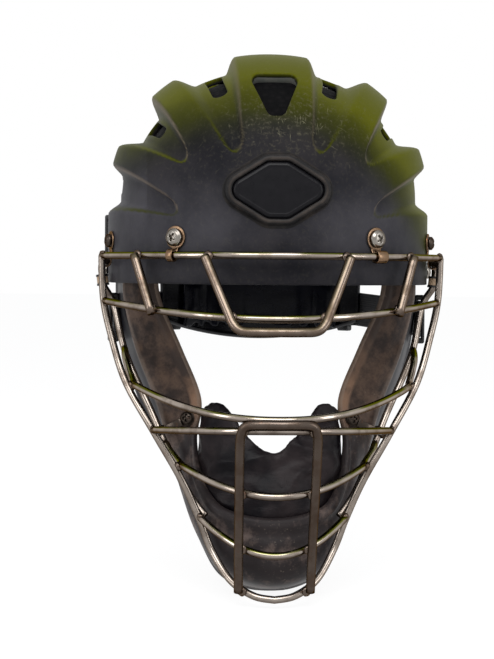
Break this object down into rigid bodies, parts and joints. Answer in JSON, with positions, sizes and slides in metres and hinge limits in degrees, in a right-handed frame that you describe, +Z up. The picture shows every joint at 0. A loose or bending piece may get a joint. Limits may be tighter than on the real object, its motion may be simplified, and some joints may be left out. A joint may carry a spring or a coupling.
{
  "type": "baseball catcher helmet",
  "caption": "Hockey-style catcher's helmet: ridged shell with a sprung rear shell, welded wire face cage, jaw guard with chin cup, and inner padding.",
  "frame": {"origin": "centre of the wearer's head inside the shell", "axes": "+Z up through the crown, -Y out of the face, +X to the right as seen from the front"},
  "size_m": [0.2288, 0.2793, 0.3551],
  "materials": {
    "shell_faded": "satin moulded plastic, grey-black fading to lime at the ridge tips",
    "shell_dark": "glossy near-black",
    "jaw_plastic": "satin, worn brown-grey",
    "badge_gloss": "gloss",
    "liner_foam": "moulded bead foam",
    "cage_steel": "worn nickel",
    "clip_steel": "tarnished, rust at the edges",
    "screw_steel": "satin",
    "sleeve_vinyl": "yellowed clear vinyl",
    "pad_vinyl": "creased black vinyl",
    "loop_plastic": "moulded nylon",
    "strap_elastic": "woven elastic"
  },
  "bodies": {
    "helmet": {"front_shell": "shell_faded", "badge_plate": "badge_gloss", "skull_liner": "liner_foam", "jaw_guard": "jaw_plastic", "cage_outer_wire": "cage_steel", "cage_rear_wires": "cage_steel", "cage_top_bar": "cage_steel", "cage_brow_bar": "cage_steel", "cage_brow_frame": "cage_steel", "cage_brow_uprights": "cage_steel", "cage_mouth_bar": "cage_steel", "cage_lip_bar": "cage_steel", "cage_chin_bar": "cage_steel", "cage_throat_bar": "cage_steel", "cage_chin_frame": "cage_steel", "brow_clips": "clip_steel", "brow_clip_screws": "screw_steel", "brow_clip_nuts": "screw_steel", "side_clips": "clip_steel", "side_clip_screws": "screw_steel", "side_clip_nuts": "screw_steel", "wire_sleeves": "sleeve_vinyl", "jaw_clips": "clip_steel", "jaw_clip_screws": "screw_steel", "jaw_clip_nuts": "screw_steel", "shell_screws": "screw_steel", "shell_screw_nuts": "screw_steel", "forehead_pad": "pad_vinyl", "crown_pad": "pad_vinyl", "temple_pad_left": "pad_vinyl", "temple_pad_right": "pad_vinyl", "chin_pad": "pad_vinyl", "strap_top": "strap_elastic", "strap_side_left": "strap_elastic", "strap_side_right": "strap_elastic", "strap_lower_left": "strap_elastic", "strap_lower_right": "strap_elastic", "front_strap_loops": "loop_plastic", "jaw_strap_loops": "loop_plastic"},
    "rear": {"rear_shell": "shell_dark", "rear_pad": "pad_vinyl", "neck_pad": "pad_vinyl", "rear_strap_loops": "loop_plastic"}
  },
  "joints": [
    {"name": "rear_shell_swing", "type": "hinge", "parent": "helmet", "child": "rear", "pos_m": [0, 0.06, 0.092], "axis": [1, 0, 0], "range_deg": [0, 24], "stiffness_Nm_per_rad": 2, "springref_deg": -20.05, "deforming": ["strap_top", "strap_side_left", "strap_side_right", "strap_lower_left", "strap_lower_right"]}
  ]
}
